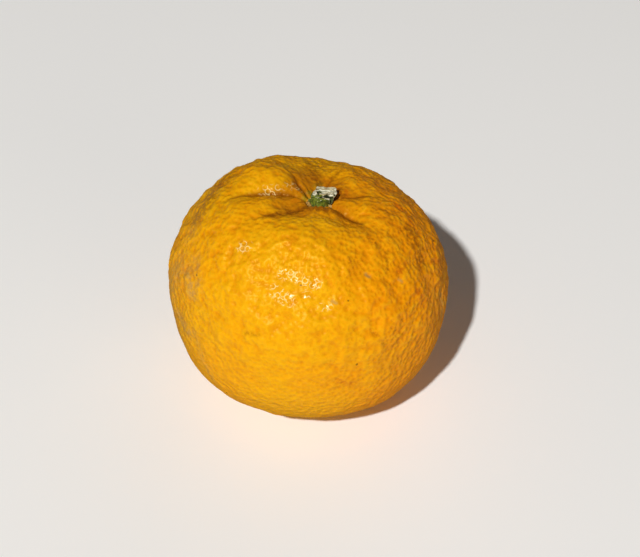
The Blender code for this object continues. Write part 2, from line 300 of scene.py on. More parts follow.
def blossom_dent(reach):
    """The hollow at the blossom end, less the scar that stands in it."""
    hollow = BLOSSOM_HOLLOW_DEPTH * bump(reach, BLOSSOM_HOLLOW_RADIUS)
    return hollow - SCAR_HEIGHT * (1 - ease(SCAR_RADIUS - SCAR_EDGE, SCAR_RADIUS + SCAR_EDGE, reach))


def rind_points(directions, fine=False):
    """The surface of the fruit, about its own centre and along its own axis."""
    polar, azimuth = angles_of(directions)
    radius = smooth_radius(directions)
    reach = radius * np.sin(polar)
    places = directions * radius[:, None]
    lumps = lump_rise(places)
    if fine:
        lumps = (lumps + fine_rise(places)) * lump_strength(polar)
    rise = lobe_rise(polar, azimuth) + swelling_rise(directions) + lumps
    wave = np.sin(WRINKLES * azimuth + WRINKLE_SWAY * np.sin(WRINKLE_SWAYS * azimuth))
    stem_side = WRINKLE_DEPTH * wave * bump(reach - WRINKLE_REACH, WRINKLE_SPREAD)
    stem_side -= dimple_dent(reach, azimuth)
    stem_side -= sum(furrow_depth(furrow, reach, azimuth) for furrow in FURROWS)
    if fine:
        stem_side += gather_rise(reach, azimuth)
    rise += np.where(directions[:, 2] > 0, stem_side, -blossom_dent(reach))
    return directions * (radius + rise)[:, None]


def cube_round():
    """Unit vectors on a cube blown up to a round, the quads between them and their UV corners."""
    lattice, directions, quads, corners = {}, [], [], []

    def index_of(cell):
        if cell not in lattice:
            lattice[cell] = len(directions)
            directions.append([math.tan((2 * step / CUBE_STRIPS - 1) * math.pi / 4) for step in cell])
        return lattice[cell]

    for side in range(6):
        axis, far = divmod(side, 2)
        for i in range(CUBE_STRIPS):
            for j in range(CUBE_STRIPS):
                square = []
                for a, b in ((i, j), (i + 1, j), (i + 1, j + 1), (i, j + 1)):
                    cell = [0, 0, 0]
                    cell[axis] = far * CUBE_STRIPS
                    cell[(axis + 1) % 3], cell[(axis + 2) % 3] = a, b
                    square.append((index_of(tuple(cell)), atlas_place(side, a, b)))
                if not far:
                    square.reverse()
                quads.append([corner[0] for corner in square])
                corners.extend(corner[1] for corner in square)
    directions = np.array(directions)
    return directions / lengths(directions)[:, None], quads, corners


def atlas_place(side, a, b):
    """Where a cube face's corner lies in a UV map of three by two squares."""
    row, column = divmod(side, 3)
    u = (column + ATLAS_MARGIN + (1 - 2 * ATLAS_MARGIN) * a / CUBE_STRIPS) / 3
    v = (row + ATLAS_MARGIN + (1 - 2 * ATLAS_MARGIN) * b / CUBE_STRIPS) / 2
    return (u, v)


def crowd_to_stem(directions):
    """Draws the directions in towards the stem end."""
    polar, azimuth = angles_of(directions)
    return direction_of(polar - STEM_CROWDING * np.sin(polar), azimuth)


def placing_of(own_points):
    """The matrix that carries the fruit's own frame to where the CAD fruit rests."""
    lean = Matrix.Rotation(LEAN_RIGHT, 4, "Y") @ Matrix.Rotation(-LEAN_BACK, 4, "X")
    leaning = own_points @ np.array(lean.to_3x3()).T
    low, high = (np.array(corner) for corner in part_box("fruit"))
    middle = (low + high) / 2 - (leaning.min(axis=0) + leaning.max(axis=0)) / 2
    shift = Vector((middle[0], middle[1], high[2] - leaning[:, 2].max()))
    return Matrix.Translation(shift) @ lean


def carried(points, matrix):
    """The points, moved and turned by a matrix of four by four."""
    matrix = np.array(matrix)
    return points @ matrix[:3, :3].T + matrix[:3, 3]


def make_piece(name, points, faces, corners):
    """A smooth mesh in the scene, with the UV places of its faces' corners."""
    mesh = bpy.data.meshes.new(name)
    mesh.from_pydata(points.tolist(), [], faces)
    mesh.shade_smooth()
    layer = mesh.uv_layers.new(name="OFBake")
    layer.data.foreach_set("uv", np.array(corners, dtype=np.float32).ravel())
    made = bpy.data.objects.new(name, mesh)
    bpy.context.scene.collection.objects.link(made)
    return made


def tree_of(points):
    tree = kdtree.KDTree(len(points))
    for index, point in enumerate(points.tolist()):
        tree.insert(point, index)
    tree.balance()
    return tree


def gland_directions(chance):
    """Even but irregular directions, about one gland's spacing apart, from a golden spiral."""
    mean_radius = (WIDTH + DEPTH + (STEM_SIDE_HEIGHT + BLOSSOM_SIDE_HEIGHT)) / 6
    count = round(4 * math.pi * mean_radius**2 / (GLAND_SPACING**2 * math.sqrt(3) / 2))
    step = np.arange(count) + 0.5
    azimuth = math.pi * (1 + math.sqrt(5)) * step
    points = direction_of(np.arccos(1 - 2 * step / count), azimuth)
    spacing = GLAND_SPACING / mean_radius
    points += chance.normal(0, GLAND_JITTER * spacing, points.shape)
    points /= lengths(points)[:, None]
    tree = tree_of(points)
    moved = points.copy()
    for index, point in enumerate(points.tolist()):
        for place, _, distance in tree.find_n(point, GLAND_NEIGHBOURS + 1)[1:]:
            away = np.array(point) - np.array(place)
            lacking = max(0.0, spacing - distance)
            moved[index] += away * lacking / max(distance, 1e-6) * GLAND_PUSH
    return moved / lengths(moved)[:, None]


def depth_share(directions):
    """How much painted shade each point gets for lying down in the dimple, a furrow or the blossom end's
    hollow, from 0 up.
    """
    polar, azimuth = angles_of(directions)
    reach = smooth_radius(directions) * np.sin(polar)
    depth = DIMPLE_SHADE * bump(reach, DIMPLE_RADIUS)
    for furrow in FURROWS:
        depth = depth + FURROW_SHADE * furrow_depth(furrow, reach, azimuth) / furrow.depth
    hollow = BLOSSOM_SHADE * bump(reach, BLOSSOM_HOLLOW_RADIUS)
    return np.where(directions[:, 2] > 0, np.minimum(depth, DEEPEST_SHADE), hollow)


def crease_share(directions):
    """Up to 1 along the bottom of each furrow's fold, where a line of painted shade goes, and on the blossom
    end's scar, and 0 elsewhere.
    """
    polar, azimuth = angles_of(directions)
    reach = smooth_radius(directions) * np.sin(polar)
    share = np.zeros(len(directions))
    for furrow in FURROWS:
        line = np.exp(-furrow_aside(furrow, reach, azimuth) / CREASE_LINE)
        held = np.sqrt(furrow_hold(furrow, reach))
        share = np.maximum(share, line * held * min(1.0, CREASE_SHADE * furrow.crease))
    return np.where(directions[:, 2] > 0, share, 1 - ease(*SCAR_TONE_EDGE, reach))


def make_rind():
    """The rind's mesh, with the nearest glands noted on each face for its material."""
    directions, quads, corners = cube_round()
    directions = crowd_to_stem(directions)
    placing = placing_of(rind_points(directions))
    points = rind_points(directions, fine=True)

    chance = np.random.default_rng(GLAND_SEED)
    glands = gland_directions(chance)
    sunk = glands * chance.uniform(0, GLAND_SINK, (len(glands), 1))
    gland_points = rind_points(glands, fine=True) - sunk
    tree = tree_of(gland_points)
    nearest = np.array([tree.find(point)[2] for point in points.tolist()])
    dent = 1 - ease(0.0, GLAND_RADIUS, nearest)
    points -= directions * (GLAND_DENT * dent * waking(points, GLAND_CALM_SHARE))[:, None]

    points = carried(points, placing)
    points[:, 2] = np.maximum(points[:, 2], 0.0)
    rind = make_piece("yuzu_rind", points, quads, corners)

    gland_points = carried(gland_points, placing)
    tree = tree_of(gland_points)
    middles = points[np.array(quads)].mean(axis=1)
    near = np.array([[found[1] for found in tree.find_n(m, GLANDS_NEAR)] for m in middles.tolist()])
    for rank in range(GLANDS_NEAR):
        noted = rind.data.attributes.new(f"gland_{rank}", "FLOAT_VECTOR", "FACE")
        noted.data.foreach_set("vector", gland_points[near[:, rank]].astype(np.float32).ravel())
    for kind, marks in all_marks().items():
        note(rind, kind, marked(points, marks))
    # The shares of painted shade down in the dimple, the furrows and the blossom end's hollow
    note(rind, "depth", depth_share(directions))
    # The small lumps' heights, for the painted shade in their hollows and the painted highlight on their
    # crests
    small = fine_rise(directions * smooth_radius(directions)[:, None])
    small *= lump_strength(angles_of(directions)[0])
    note(rind, "lump", 0.5 + 0.5 * small / FINE_LUMPS[0][1])
    # Painted shade lines along the furrows' creases, and the blossom end's scar in its own darker colour
    note(rind, "crease", crease_share(directions))
    return rind, placing


def rind_height(x, y):
    """The height of the rind over points near the stem, in the fruit's own frame."""
    reach, azimuth = np.hypot(x, y), np.arctan2(y, x)
    height = np.full_like(reach, STEM_SIDE_HEIGHT)
    for _ in range(HEIGHT_ROUNDS):
        height = rind_points(direction_of(np.arctan2(reach, height), azimuth))[:, 2]
    return height


def make_turned(name, rings, placing, notes):
    """A closed skin over rings of points, drawn to a point at each end, with notes' numbers on them."""
    count, columns = rings.shape[:2]
    points = np.concatenate([rings.reshape(-1, 3), rings[0].mean(axis=0)[None], rings[-1].mean(axis=0)[None]])
    faces, corners = [], []
    for ring in range(count + 1):
        v, v_after = ring / (count + 1), (ring + 1) / (count + 1)
        for column in range(columns):
            after = (column + 1) % columns
            u, u_after = column / columns, (column + 1) / columns
            upper, lower = (ring - 1) * columns, ring * columns
            if ring == 0:
                faces.append((len(points) - 2, column, after))
                corners += [((u + u_after) / 2, v), (u, v_after), (u_after, v_after)]
            elif ring == count:
                faces.append((upper + column, len(points) - 1, upper + after))
                corners += [(u, v), ((u + u_after) / 2, v_after), (u_after, v)]
            else:
                faces.append((upper + column, lower + column, lower + after, upper + after))
                corners += [(u, v), (u, v_after), (u_after, v_after), (u_after, v)]
    made = make_piece(name, carried(points, placing), faces, corners)
    for key, values in notes.items():
        ends = [values[0].mean(), values[-1].mean()]
        note(made, key, np.concatenate([values.ravel(), ends]))
    return made


# The calyx, in the fruit's own frame over the floor of the dimple: a green collar round the stem's
# foot, with five lobes that lie on the rind. Azimuths are in degrees and sizes in metres
CALYX_COLUMNS = 240
CALYX_RINGS = 44
CALYX_RADIUS = 0.0028
CALYX_OFFSET = 0.0003
CALYX_OFFSET_SIDE = math.radians(50)
Lobe = namedtuple("Lobe", "azimuth tip spread")
CALYX_LOBES = (
    Lobe(62, 0.0034, 20),
    Lobe(134, 0.0033, 20),
    Lobe(214, 0.0042, 17),
    Lobe(278, 0.0029, 22),
    Lobe(325, 0.0037, 15),
)
CALYX_EDGE = 0.00030
CALYX_ROUND_FROM = 0.82
CALYX_SUNK = 0.00012
CALYX_INNER = 0.45
COLLAR_SHIFT = 0.0002
COLLAR_HEIGHT = 0.0016
COLLAR_TAPER = 0.55
COLLAR_WALL = (0.00190, 0.00260)
COLLAR_DROP = 0.0026
COLLAR_RIBBING = 2.4
COLLAR_SOFTNESS = 0.00012
# The underside lies a little deeper still, with one ring for every few of the upper side's
UNDER_DEPTH = 0.0001
UNDER_STRIDE = 4
# The dried round lobe tip that stands out on the left, with a dent in it
NODULE = Vector((-0.00290, -0.00205))
NODULE_RADIUS = 0.00115
NODULE_HEIGHT = 0.00080
NODULE_DENT = 0.35
NODULE_DENT_RADIUS = 0.35 * NODULE_RADIUS
NODULE_DRY_RADIUS = 1.1 * NODULE_RADIUS
# The pale dry lobe on the right, and the dry edge all round, as shares of the way out to the edge
PALE_LOBE = math.radians(325)
PALE_LOBE_SPREAD = math.radians(20)
PALE_LOBE_FROM = (0.66, 0.80)
DRY_EDGE_FROM = (0.95, 0.99)
DRY_EDGE_STRENGTH = 0.9
# Ripples round the calyx and the stem: how fine to a radian or so, how long outwards in metres or
# downwards in heights of the side, how high in metres, and a shift that sets each apart
Ripple = namedtuple("Ripple", "fineness length height shift")
CALYX_RAGGED = Ripple(3.0, 1.0, 0.00018, 5.0)
CALYX_RIBS = Ripple(6.0, 0.0020, 0.00005, 11.0)
CALYX_GRAIN = Ripple(7.0, 0.0004, 0.00003, 2.0)


def rippled(ripple, azimuth, along=0.0):
    """The height of ripples that meet after a full turn."""
    down = np.broadcast_to(along / ripple.length, azimuth.shape)
    places = np.stack([ripple.fineness * np.cos(azimuth), ripple.fineness * np.sin(azimuth), down], axis=-1)
    return ripple.height * perlin(places.reshape(-1, 3), 1.0, (ripple.shift, 0.0, 0.0)).reshape(azimuth.shape)


def calyx_edge(azimuth):
    """How far out the calyx reaches."""
    edge = CALYX_RADIUS + CALYX_OFFSET * np.cos(azimuth - CALYX_OFFSET_SIDE)
    for lobe in CALYX_LOBES:
        aside = turn_between(azimuth, math.radians(lobe.azimuth))
        edge = edge + (lobe.tip - CALYX_RADIUS) * bump(aside, math.radians(lobe.spread))
    return edge + rippled(CALYX_RAGGED, azimuth)


def soft_max(first, second, softness):
    """The larger of two values, with the corner between them rounded."""
    return 0.5 * (first + second + np.hypot(first - second, softness))


def make_calyx(placing, floor):
    share = np.linspace(CALYX_INNER, 1.0, CALYX_RINGS)[:, None]
    azimuth = np.linspace(0, math.tau, CALYX_COLUMNS, endpoint=False)[None, :]
    share, azimuth = np.broadcast_arrays(share, azimuth)
    reach = calyx_edge(azimuth[0])[None, :] * share
    x, y = reach * np.cos(azimuth), reach * np.sin(azimuth)
    rind = rind_height(x.ravel(), y.ravel()).reshape(x.shape) - floor
    outward = np.maximum(0.0, (share - CALYX_ROUND_FROM) / (1 - CALYX_ROUND_FROM))
    rounding = np.sqrt(np.maximum(0.0, 1 - outward**2))
    ribs = rippled(CALYX_RIBS, azimuth, reach)
    uneven = np.hypot(x - COLLAR_SHIFT, y) - COLLAR_RIBBING * ribs
    collar = COLLAR_HEIGHT - COLLAR_TAPER * uneven - COLLAR_DROP * ease(*COLLAR_WALL, uneven)
    skirt = rind + CALYX_EDGE * rounding - CALYX_SUNK
    top = soft_max(skirt, collar, COLLAR_SOFTNESS) + rounding * (ribs + rippled(CALYX_GRAIN, azimuth, reach))
    away = np.hypot(x - NODULE.x, y - NODULE.y)
    dome = np.sqrt(np.maximum(0.0, 1 - (away / NODULE_RADIUS) ** 2))
    top = top + NODULE_HEIGHT * dome * (1 - NODULE_DENT * bump(away, NODULE_DENT_RADIUS)) * rounding
    pale_lobe = bump(turn_between(azimuth, PALE_LOBE), PALE_LOBE_SPREAD) * ease(*PALE_LOBE_FROM, share)
    dry = np.maximum(bump(away, NODULE_DRY_RADIUS), pale_lobe)
    dry = np.maximum(dry, DRY_EDGE_STRENGTH * ease(*DRY_EDGE_FROM, share))
    upper = np.stack([x, y, floor + top], axis=-1)
    under = np.stack([x, y, floor + rind - CALYX_SUNK - UNDER_DEPTH], axis=-1)
    rings = np.concatenate([upper, under[::-1][1::UNDER_STRIDE]])
    dryness = np.concatenate([dry, dry[::-1][1::UNDER_STRIDE]])
    return make_turned("yuzu_calyx", rings, placing, {"dry": dryness})


# The stub of the stem, over the floor of the dimple, in metres. It bends over to the right, and its
# top is torn off at a slope
STEM_COLUMNS = 220
SIDE_RINGS = 30
TOP_RINGS = 44
TOP_INNER = 0.02
NECK_FOOT = 0.0001
NECK_HEIGHT = 0.0018
NECK_RADIUS = 0.0022
NECK_WAIST = 0.00012
STEM_BEND = 0.0011
TEAR_SLOPE = 0.28
# Its rippled rim, top and side. The top's ripples fade inwards by a power, and the side's rise over
# the first share of the way down
RIM_RAGGED = Ripple(4.0, 1.0, 0.00014, 31.0)
TOP_RAGGED = Ripple(3.5, 1.0, 0.000224, 21.0)
TOP_RAGGED_POWER = 4
SIDE_RIDGES = Ripple(5.0, 1.25, 0.00007, 41.0)
SIDE_GRAIN = Ripple(9.0, 1 / 3, 0.00006, 51.0)
SIDE_START = 0.25
# The torn top's fibres, which run across, and its lumps: size, height and shift
FIBRE_SIZE = np.array((0.0016, 0.00022, 1.0))
FIBRE_HEIGHT = 0.00020
FIBRE_SHIFT = (3.0, 9.0, 4.0)
TORN_LUMP_SIZE = 0.0009
TORN_LUMP_HEIGHT = 0.00018
TORN_LUMP_SHIFT = (8.0, 1.0, 2.0)
# The torn top's corners, anticlockwise. They and the rest of the top are in millimetres, from the
# neck's middle line
TORN_CORNERS = ((2.6, 1.5), (-1.9, 1.5), (-2.35, 0.2), (-1.3, -1.7), (1.2, -2.3), (2.1, -1.5), (2.9, -0.4))
CORNER_ROUNDING = 4
# A pale ridge of wood across it
RIDGE = ((-1.3, -0.90), (0.4, -0.90), (1.6, -0.30), (2.7, -0.05))
RIDGE_WIDTH = 0.16
RIDGE_RISE = 0.20
# The gaps torn in its wood, painted darker as shade the deeper they go: middle, half sizes across and along
# the view, and depth. A gap's wall goes from the first to the second of these shares of its half size
GAP_WALL = (0.55, 1.25)
Gap = namedtuple("Gap", "across along wide long deep")
GAPS = (
    Gap(0.60, -1.35, 0.95, 0.40, 1.60),
    Gap(1.65, -1.80, 0.46, 0.70, 1.70),
    Gap(-0.95, -1.62, 0.34, 0.24, 0.90),
    Gap(-0.45, -0.62, 0.60, 0.20, 1.10),
    Gap(-1.75, -0.25, 0.26, 0.42, 0.80),
    Gap(-1.20, -0.55, 0.22, 0.20, 0.60),
    Gap(1.75, 0.20, 0.50, 0.10, 0.60),
    Gap(0.70, 0.60, 0.60, 0.08, 0.35),
    Gap(-0.80, 1.00, 0.60, 0.07, 0.30),
    Gap(2.30, -0.70, 0.28, 0.22, 0.80),
)
# The dark green heart of the wood
HEART_MIDDLE = (-1.45, -0.95)
HEART_SPREAD = 1.05
# The torn look ends this share of the way down the side
TORN_EDGE = 0.12
# The strip of pale bark on the stub's left side, and the levels over which it starts
BARK_SIDE = math.radians(175)
BARK_SPREAD = math.radians(30)
BARK_LEVELS = (0.15, 0.55)
# Painted shade: a darker green on its right side, away from the light
SHADE_SIDE = math.radians(-30)
SHADE_SPREAD = math.radians(40)


def rim_radius(azimuth):
    """How far the torn top's outline is from the neck's middle line, with its corners rounded."""
    reach = np.full_like(azimuth, np.inf)
    ahead = np.stack([np.cos(azimuth), np.sin(azimuth)], axis=-1)
    corners = np.array(TORN_CORNERS)
    for start, end in zip(corners, np.roll(corners, -1, axis=0)):
        outward = np.array((end[1] - start[1], start[0] - end[0]))
        facing = ahead @ outward
        distance = np.where(facing > 0, (start @ outward) / np.where(facing > 0, facing, 1), np.inf)
        reach = np.minimum(reach, distance)
    for _ in range(CORNER_ROUNDING):
        reach = (np.roll(reach, 2) + np.roll(reach, -2) + reach) / 3
    return reach * MM


def ridge_share(across, along):
    """1 along the pale ridge, fading to nothing beside it."""
    return bump(path_distance(np.stack([across, along], axis=-1) / MM, RIDGE), RIDGE_WIDTH)


def torn_height(across, along, azimuth, share):
    """The torn top: it slopes down to the front, in fibres that run across, with gaps torn in it."""
    places = np.stack([across, along, np.zeros_like(along)], axis=-1)
    height = NECK_HEIGHT + TEAR_SLOPE * along
    height += FIBRE_HEIGHT * perlin(places, FIBRE_SIZE, FIBRE_SHIFT)
    height += TORN_LUMP_HEIGHT * perlin(places, TORN_LUMP_SIZE, TORN_LUMP_SHIFT)
    height += share**TOP_RAGGED_POWER * rippled(TOP_RAGGED, azimuth)
    height += RIDGE_RISE * MM * ridge_share(across, along)
    dug = np.zeros_like(height)
    for gap in GAPS:
        away = np.hypot((across / MM - gap.across) / gap.wide, (along / MM - gap.along) / gap.long)
        dug = np.maximum(dug, gap.deep * (1 - ease(*GAP_WALL, away)))
    return height - dug * MM, dug


def make_stem(placing, floor):
    azimuth = np.linspace(0, math.tau, STEM_COLUMNS, endpoint=False)
    facing_right, facing_back = np.cos(azimuth), np.sin(azimuth)
    rim = rim_radius(azimuth) + rippled(RIM_RAGGED, azimuth)
    rings, gap_shade, heart, levels = [], [], [], []
    for share in np.linspace(TOP_INNER, 1.0, TOP_RINGS):
        across, along = rim * share * facing_right, rim * share * facing_back
        top, dug = torn_height(across, along, azimuth, share)
        rings.append(np.stack([across + STEM_BEND, along, floor + top], axis=-1))
        from_heart = np.hypot(across / MM - HEART_MIDDLE[0], along / MM - HEART_MIDDLE[1])
        heart.append(bump(from_heart, HEART_SPREAD) * (1 - ridge_share(across, along)))
        gap_shade.append(dug)
        levels.append(1.0)
    for step in range(1, SIDE_RINGS + 1):
        level = 1 - step / SIDE_RINGS
        eased = ease(0.0, 1.0, level)
        out = rippled(SIDE_RIDGES, azimuth, level) + rippled(SIDE_GRAIN, azimuth, level)
        out = (out - NECK_WAIST * math.sin(math.pi * level)) * min(1.0, (1 - level) / SIDE_START)
        x = (NECK_RADIUS * (1 - eased) + out) * facing_right + (across + STEM_BEND) * eased
        y = (NECK_RADIUS * (1 - eased) + out) * facing_back + along * eased
        rings.append(np.stack([x, y, floor + NECK_FOOT + (top - NECK_FOOT) * level], axis=-1))
        heart.append(np.zeros_like(azimuth))
        gap_shade.append(np.zeros_like(azimuth))
        levels.append(level)
    levels = np.array(levels)[:, None]
    torn = (1 - ease(0.0, TORN_EDGE, 1 - levels)) * np.ones_like(azimuth)
    bark = bump(turn_between(azimuth, BARK_SIDE), BARK_SPREAD) * ease(*BARK_LEVELS, levels)
    shade = bump(turn_between(azimuth, SHADE_SIDE), SHADE_SPREAD) * (1 - torn)
    notes = {"torn": torn, "gap_shade": np.array(gap_shade), "heart": np.array(heart), "bark": bark, "shade": shade}
    return make_turned("yuzu_stem", np.array(rings), placing, notes)


# Marks on the rind by kind. Each has its half width, its strength and the places in the frame that its line
# runs through, in millimetres. Stain marks are brown; those on the fruit's upper side are mostly painted
# shade, the rest stains. Red marks are reddish spots, and the one right of the stub is the stub's painted
# shadow. Olive marks tint the rind, scuffs are greyish tan, and the shine marks are where the rind is glossy
# enough to glint, with painted highlight rings on it there
MARKS = {
    "stain_and_shade": (
        # Painted shade round the stem's dimple, on the crest before it and on the upper slopes
        (1.4, 0.9, ((0.5, -4.0, 56.0), (-1.9, -4.0, 55.5), (-4.2, -5.4, 55.7), (-9.4, -7.4, 56.8))),
        (1.3, 0.9, ((-1.9, -3.4, 55.1), (2.4, -4.0, 56.0), (5.3, -4.2, 55.8))),
        (1.1, 0.9, ((5.3, -4.0, 55.8), (7.4, -3.6, 54.2), (9.3, -4.6, 53.2), (11.9, -7.0, 53.6))),
        (0.8, 0.9, ((-3.4, 7.2, 54.5), (-1.5, 6.8, 53.0), (-0.3, 5.3, 52.3))),
        (0.9, 0.9, ((5.1, 11.1, 52.6), (7.6, 13.9, 53.3))),
        (2.4, 0.7, ((0.3, 18.5, 52.5), (1.5, 14.1, 52.8), (2.5, 10.3, 53.0))),
        (1.4, 0.9, ((7.3, 6.1, 54.2), (8.2, 3.1, 53.5))),
        (1.0, 0.7, ((12.4, -8.5, 53.5), (14.2, -11.2, 53.6), (16.3, -13.7, 52.3))),
        (1.0, 0.5, ((15.0, -28.4, 39.5), (17.9, -28.5, 35.0))),
        (0.6, 0.7, ((9.6, -18.8, 53.4), (10.3, -20.2, 52.1))),
        (0.7, 0.5, ((-14.3, -29.0, 39.2), (-11.5, -30.4, 39.9))),
        (4.0, 0.7, ((-20.5, 9.5, 53.0), (-23.5, 7.8, 51.6), (-24.5, 4.0, 51.5), (-26.9, 0.5, 50.0))),
        (2.5, 0.4, ((15.4, -0.8, 54.5), (17.8, -1.1, 53.8), (20.1, -4.6, 53.0))),
        (2.8, 0.65, ((24.0, -4.3, 50.3), (25.1, -6.2, 49.0), (26.9, -7.8, 46.3), (26.8, -10.0, 44.4))),
        (0.7, 0.6, ((18.4, -13.8, 50.9), (18.6, -17.6, 48.6))),
    ),
    "red_and_shadow": (
        (1.3, 0.5, ((6.4, -33.3, 28.0), (10.5, -32.3, 25.6))),
        (1.8, 0.55, ((25.9, -17.7, 42.1), (27.7, -16.9, 38.4))),
        (1.4, 0.6, ((22.7, -13.8, 47.8), (21.2, -17.4, 47.2))),
        # Painted shadow that the stub casts on the rind to its right
        (2.0, 0.6, ((3.5, 3.0, 53.0), (9.0, 5.0, 54.0))),
    ),
    "olive": (
        (1.3, 0.9, ((-1.0, 1.0, 54.0), (-0.6, 3.5, 53.0), (0.5, 6.0, 52.4))),
        (1.2, 0.8, ((2.0, 8.5, 52.7), (3.0, 10.0, 52.7))),
        (4.0, 0.3, ((-25.0, 0.0, 50.0), (-21.0, 3.0, 52.5))),
    ),
    "scuff": (
        (3.0, 0.5, ((-26.5, -12.3, 46.4), (-26.4, -17.1, 43.1))),
        (3.5, 0.4, ((-23.5, 7.8, 51.6), (-26.0, 6.0, 49.9), (-26.9, 0.5, 50.0), (-28.4, -4.4, 47.8))),
        (2.2, 0.7, ((-28.6, -12.8, 43.4), (-27.5, -17.3, 40.7))),
        (2.2, 0.7, ((-31.2, -13.1, 30.2), (-29.0, -18.8, 29.6))),
        (1.6, 0.5, ((-27.1, -20.8, 31.6), (-25.3, -23.4, 26.4), (-23.1, -25.2, 19.7))),
        (5.0, 0.6, ((-32.0, -9.0, 42.0), (-34.0, -7.0, 31.0), (-31.5, -13.0, 18.0))),
        (1.4, 0.7, ((32.2, -9.1, 33.9), (32.7, -11.0, 26.9))),
        (0.5, 0.9, ((13.4, -20.3, 49.8), (14.5, -20.6, 49.1))),
        (0.5, 0.9, ((21.5, -18.1, 46.2), (22.2, -18.2, 45.4))),
        (0.5, 0.8, ((5.7, -26.7, 47.1), (6.6, -26.9, 46.7))),
        (1.2, 0.5, ((-15.0, -15.4, 53.9), (-14.4, -15.6, 53.8))),
    ),
    "gloss_and_glint": (
        (1.6, 1.0, ((-5.8, -22.8, 52.0), (-2.9, -23.5, 51.7), (2.0, -24.7, 50.6))),
        (2.0, 1.0, ((-7.7, -25.3, 49.2), (-4.4, -27.0, 47.6))),
        (1.2, 1.0, ((-0.3, -26.1, 48.7), (0.1, -26.1, 48.7))),
        (1.2, 1.0, ((3.2, -27.7, 46.2), (4.9, -27.5, 46.2))),
        (2.0, 1.0, ((-15.0, -15.4, 53.9), (-14.0, -15.6, 53.8))),
        (1.7, 1.0, ((-11.0, 3.8, 55.1), (-7.8, 4.2, 55.0))),
        (1.8, 1.0, ((-5.4, 5.2, 54.8), (-2.8, 5.6, 54.3))),
    ),
}
# The stray marks' ranges, in degrees, radians for the turn and millimetres
STRAY_MARKS = 26
STRAY_SEED = 5
STRAY_KINDS = ("scuff", "red_and_shadow", "stain_and_shade")
STRAY_AZIMUTH = (-15, 195)
STRAY_POLAR = (40, 150)
STRAY_TURN = (0.02, 0.22)
STRAY_WIDTH = (0.6, 2.0)
STRAY_STRENGTH = (0.4, 0.8)


def all_marks():
    """The marks above, with a few more like them on the sides that the photograph doesn't show."""
    chance = np.random.default_rng(STRAY_SEED)
    low, high = (np.array(corner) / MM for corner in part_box("fruit"))
    middle, half = (low + high) / 2, (high - low) / 2
    marks = {kind: list(listed) for kind, listed in MARKS.items()}
    for index in range(STRAY_MARKS):
        azimuth = math.radians(chance.uniform(*STRAY_AZIMUTH))
        polar = math.radians(chance.uniform(*STRAY_POLAR))
        ends = []
        for turn in (0.0, chance.uniform(*STRAY_TURN)):
            ahead = direction_of(np.array(polar + turn * chance.uniform(-1, 1)), np.array(azimuth + turn))
            ends.append(middle + half * ahead)
        stray = (chance.uniform(*STRAY_WIDTH), chance.uniform(*STRAY_STRENGTH), ends)
        marks[STRAY_KINDS[index % len(STRAY_KINDS)]].append(stray)
    return marks


def marked(points, marks):
    """How strongly each point bears these marks."""
    share = np.zeros(len(points))
    for width, strength, path in marks:
        share = np.maximum(share, strength * bump(path_distance(points / MM, path), width))
    return share


def path_distance(places, path):
    """How far places are from a line through the points of a path."""
    nearest = np.full(places.shape[:-1], np.inf)
    for start, end in zip(np.array(path[:-1]), np.array(path[1:])):
        stretch = end - start
        share = np.clip((places - start) @ stretch / (stretch @ stretch), 0, 1)
        nearest = np.minimum(nearest, lengths(places - start - share[..., None] * stretch))
    return nearest


def note(piece, name, values):
    """Writes one number for each point of a piece, which its material can read."""
    noted = piece.data.attributes.new(name, "FLOAT", "POINT")
    noted.data.foreach_set("value", values.astype(np.float32))


class Graph:
    """One material's nodes, with short calls to add and link them."""

    def __init__(self, name):
        self.material = bpy.data.materials.new(name)
        self.material.use_nodes = True
        self.tree = self.material.node_tree
        self.shader = self.tree.nodes["Principled BSDF"]
        self.place = self.node("ShaderNodeTexCoord").outputs["Object"]

    def feed(self, socket, value):
        """Links a socket to another one's output, or sets it to a constant."""
        if isinstance(value, bpy.types.NodeSocket):
            self.tree.links.new(value, socket)
        else:
            socket.default_value = value

    def node(self, kind, inputs=None, **settings):
        made = self.tree.nodes.new(kind)
        for name, value in settings.items():
            setattr(made, name, value)
        for name, value in (inputs or {}).items():
            self.feed(made.inputs[name], value)
        return made

    def math(self, operation, first, second=0.0, clamp=False):
        made = self.node("ShaderNodeMath", {0: first, 1: second}, operation=operation, use_clamp=clamp)
        return made.outputs[0]

    def remap(self, value, low, high, to_low=0.0, to_high=1.0):
        """Eased from one range to the other, and level outside it."""
        names = ("Value", "From Min", "From Max", "To Min", "To Max")
        inputs = dict(zip(names, (value, low, high, to_low, to_high)))
        return self.node("ShaderNodeMapRange", inputs, interpolation_type="SMOOTHSTEP").outputs[0]

    def mix(self, share, first, second):
        inputs = {0: share, 6: first, 7: second}
        return self.node("ShaderNodeMix", inputs, data_type="RGBA").outputs[2]

    def noise(self, size, detail=2.0, roughness=0.5, place=None):
        inputs = {"Vector": place or self.place, "Scale": 1 / size, "Detail": detail, "Roughness": roughness}
        return self.node("ShaderNodeTexNoise", inputs).outputs["Fac"]

    def cells(self, size):
        """How far the nearest of scattered spots is, in spacings."""
        inputs = {"Vector": self.place, "Scale": 1 / size}
        return self.node("ShaderNodeTexVoronoi", inputs).outputs["Distance"]

    def relief(self, height, distance, strength=1.0):
        inputs = {"Height": height, "Distance": distance, "Strength": strength}
        return self.node("ShaderNodeBump", inputs).outputs["Normal"]

    def attribute(self, name, output="Fac"):
        return self.node("ShaderNodeAttribute", attribute_name=name).outputs[output]

    def distance(self, first, second):
        return self.node("ShaderNodeVectorMath", {0: first, 1: second}, operation="DISTANCE").outputs["Value"]

    def set(self, **values):
        for name, value in values.items():
            self.feed(self.shader.inputs[name.replace("_", " ")], value)


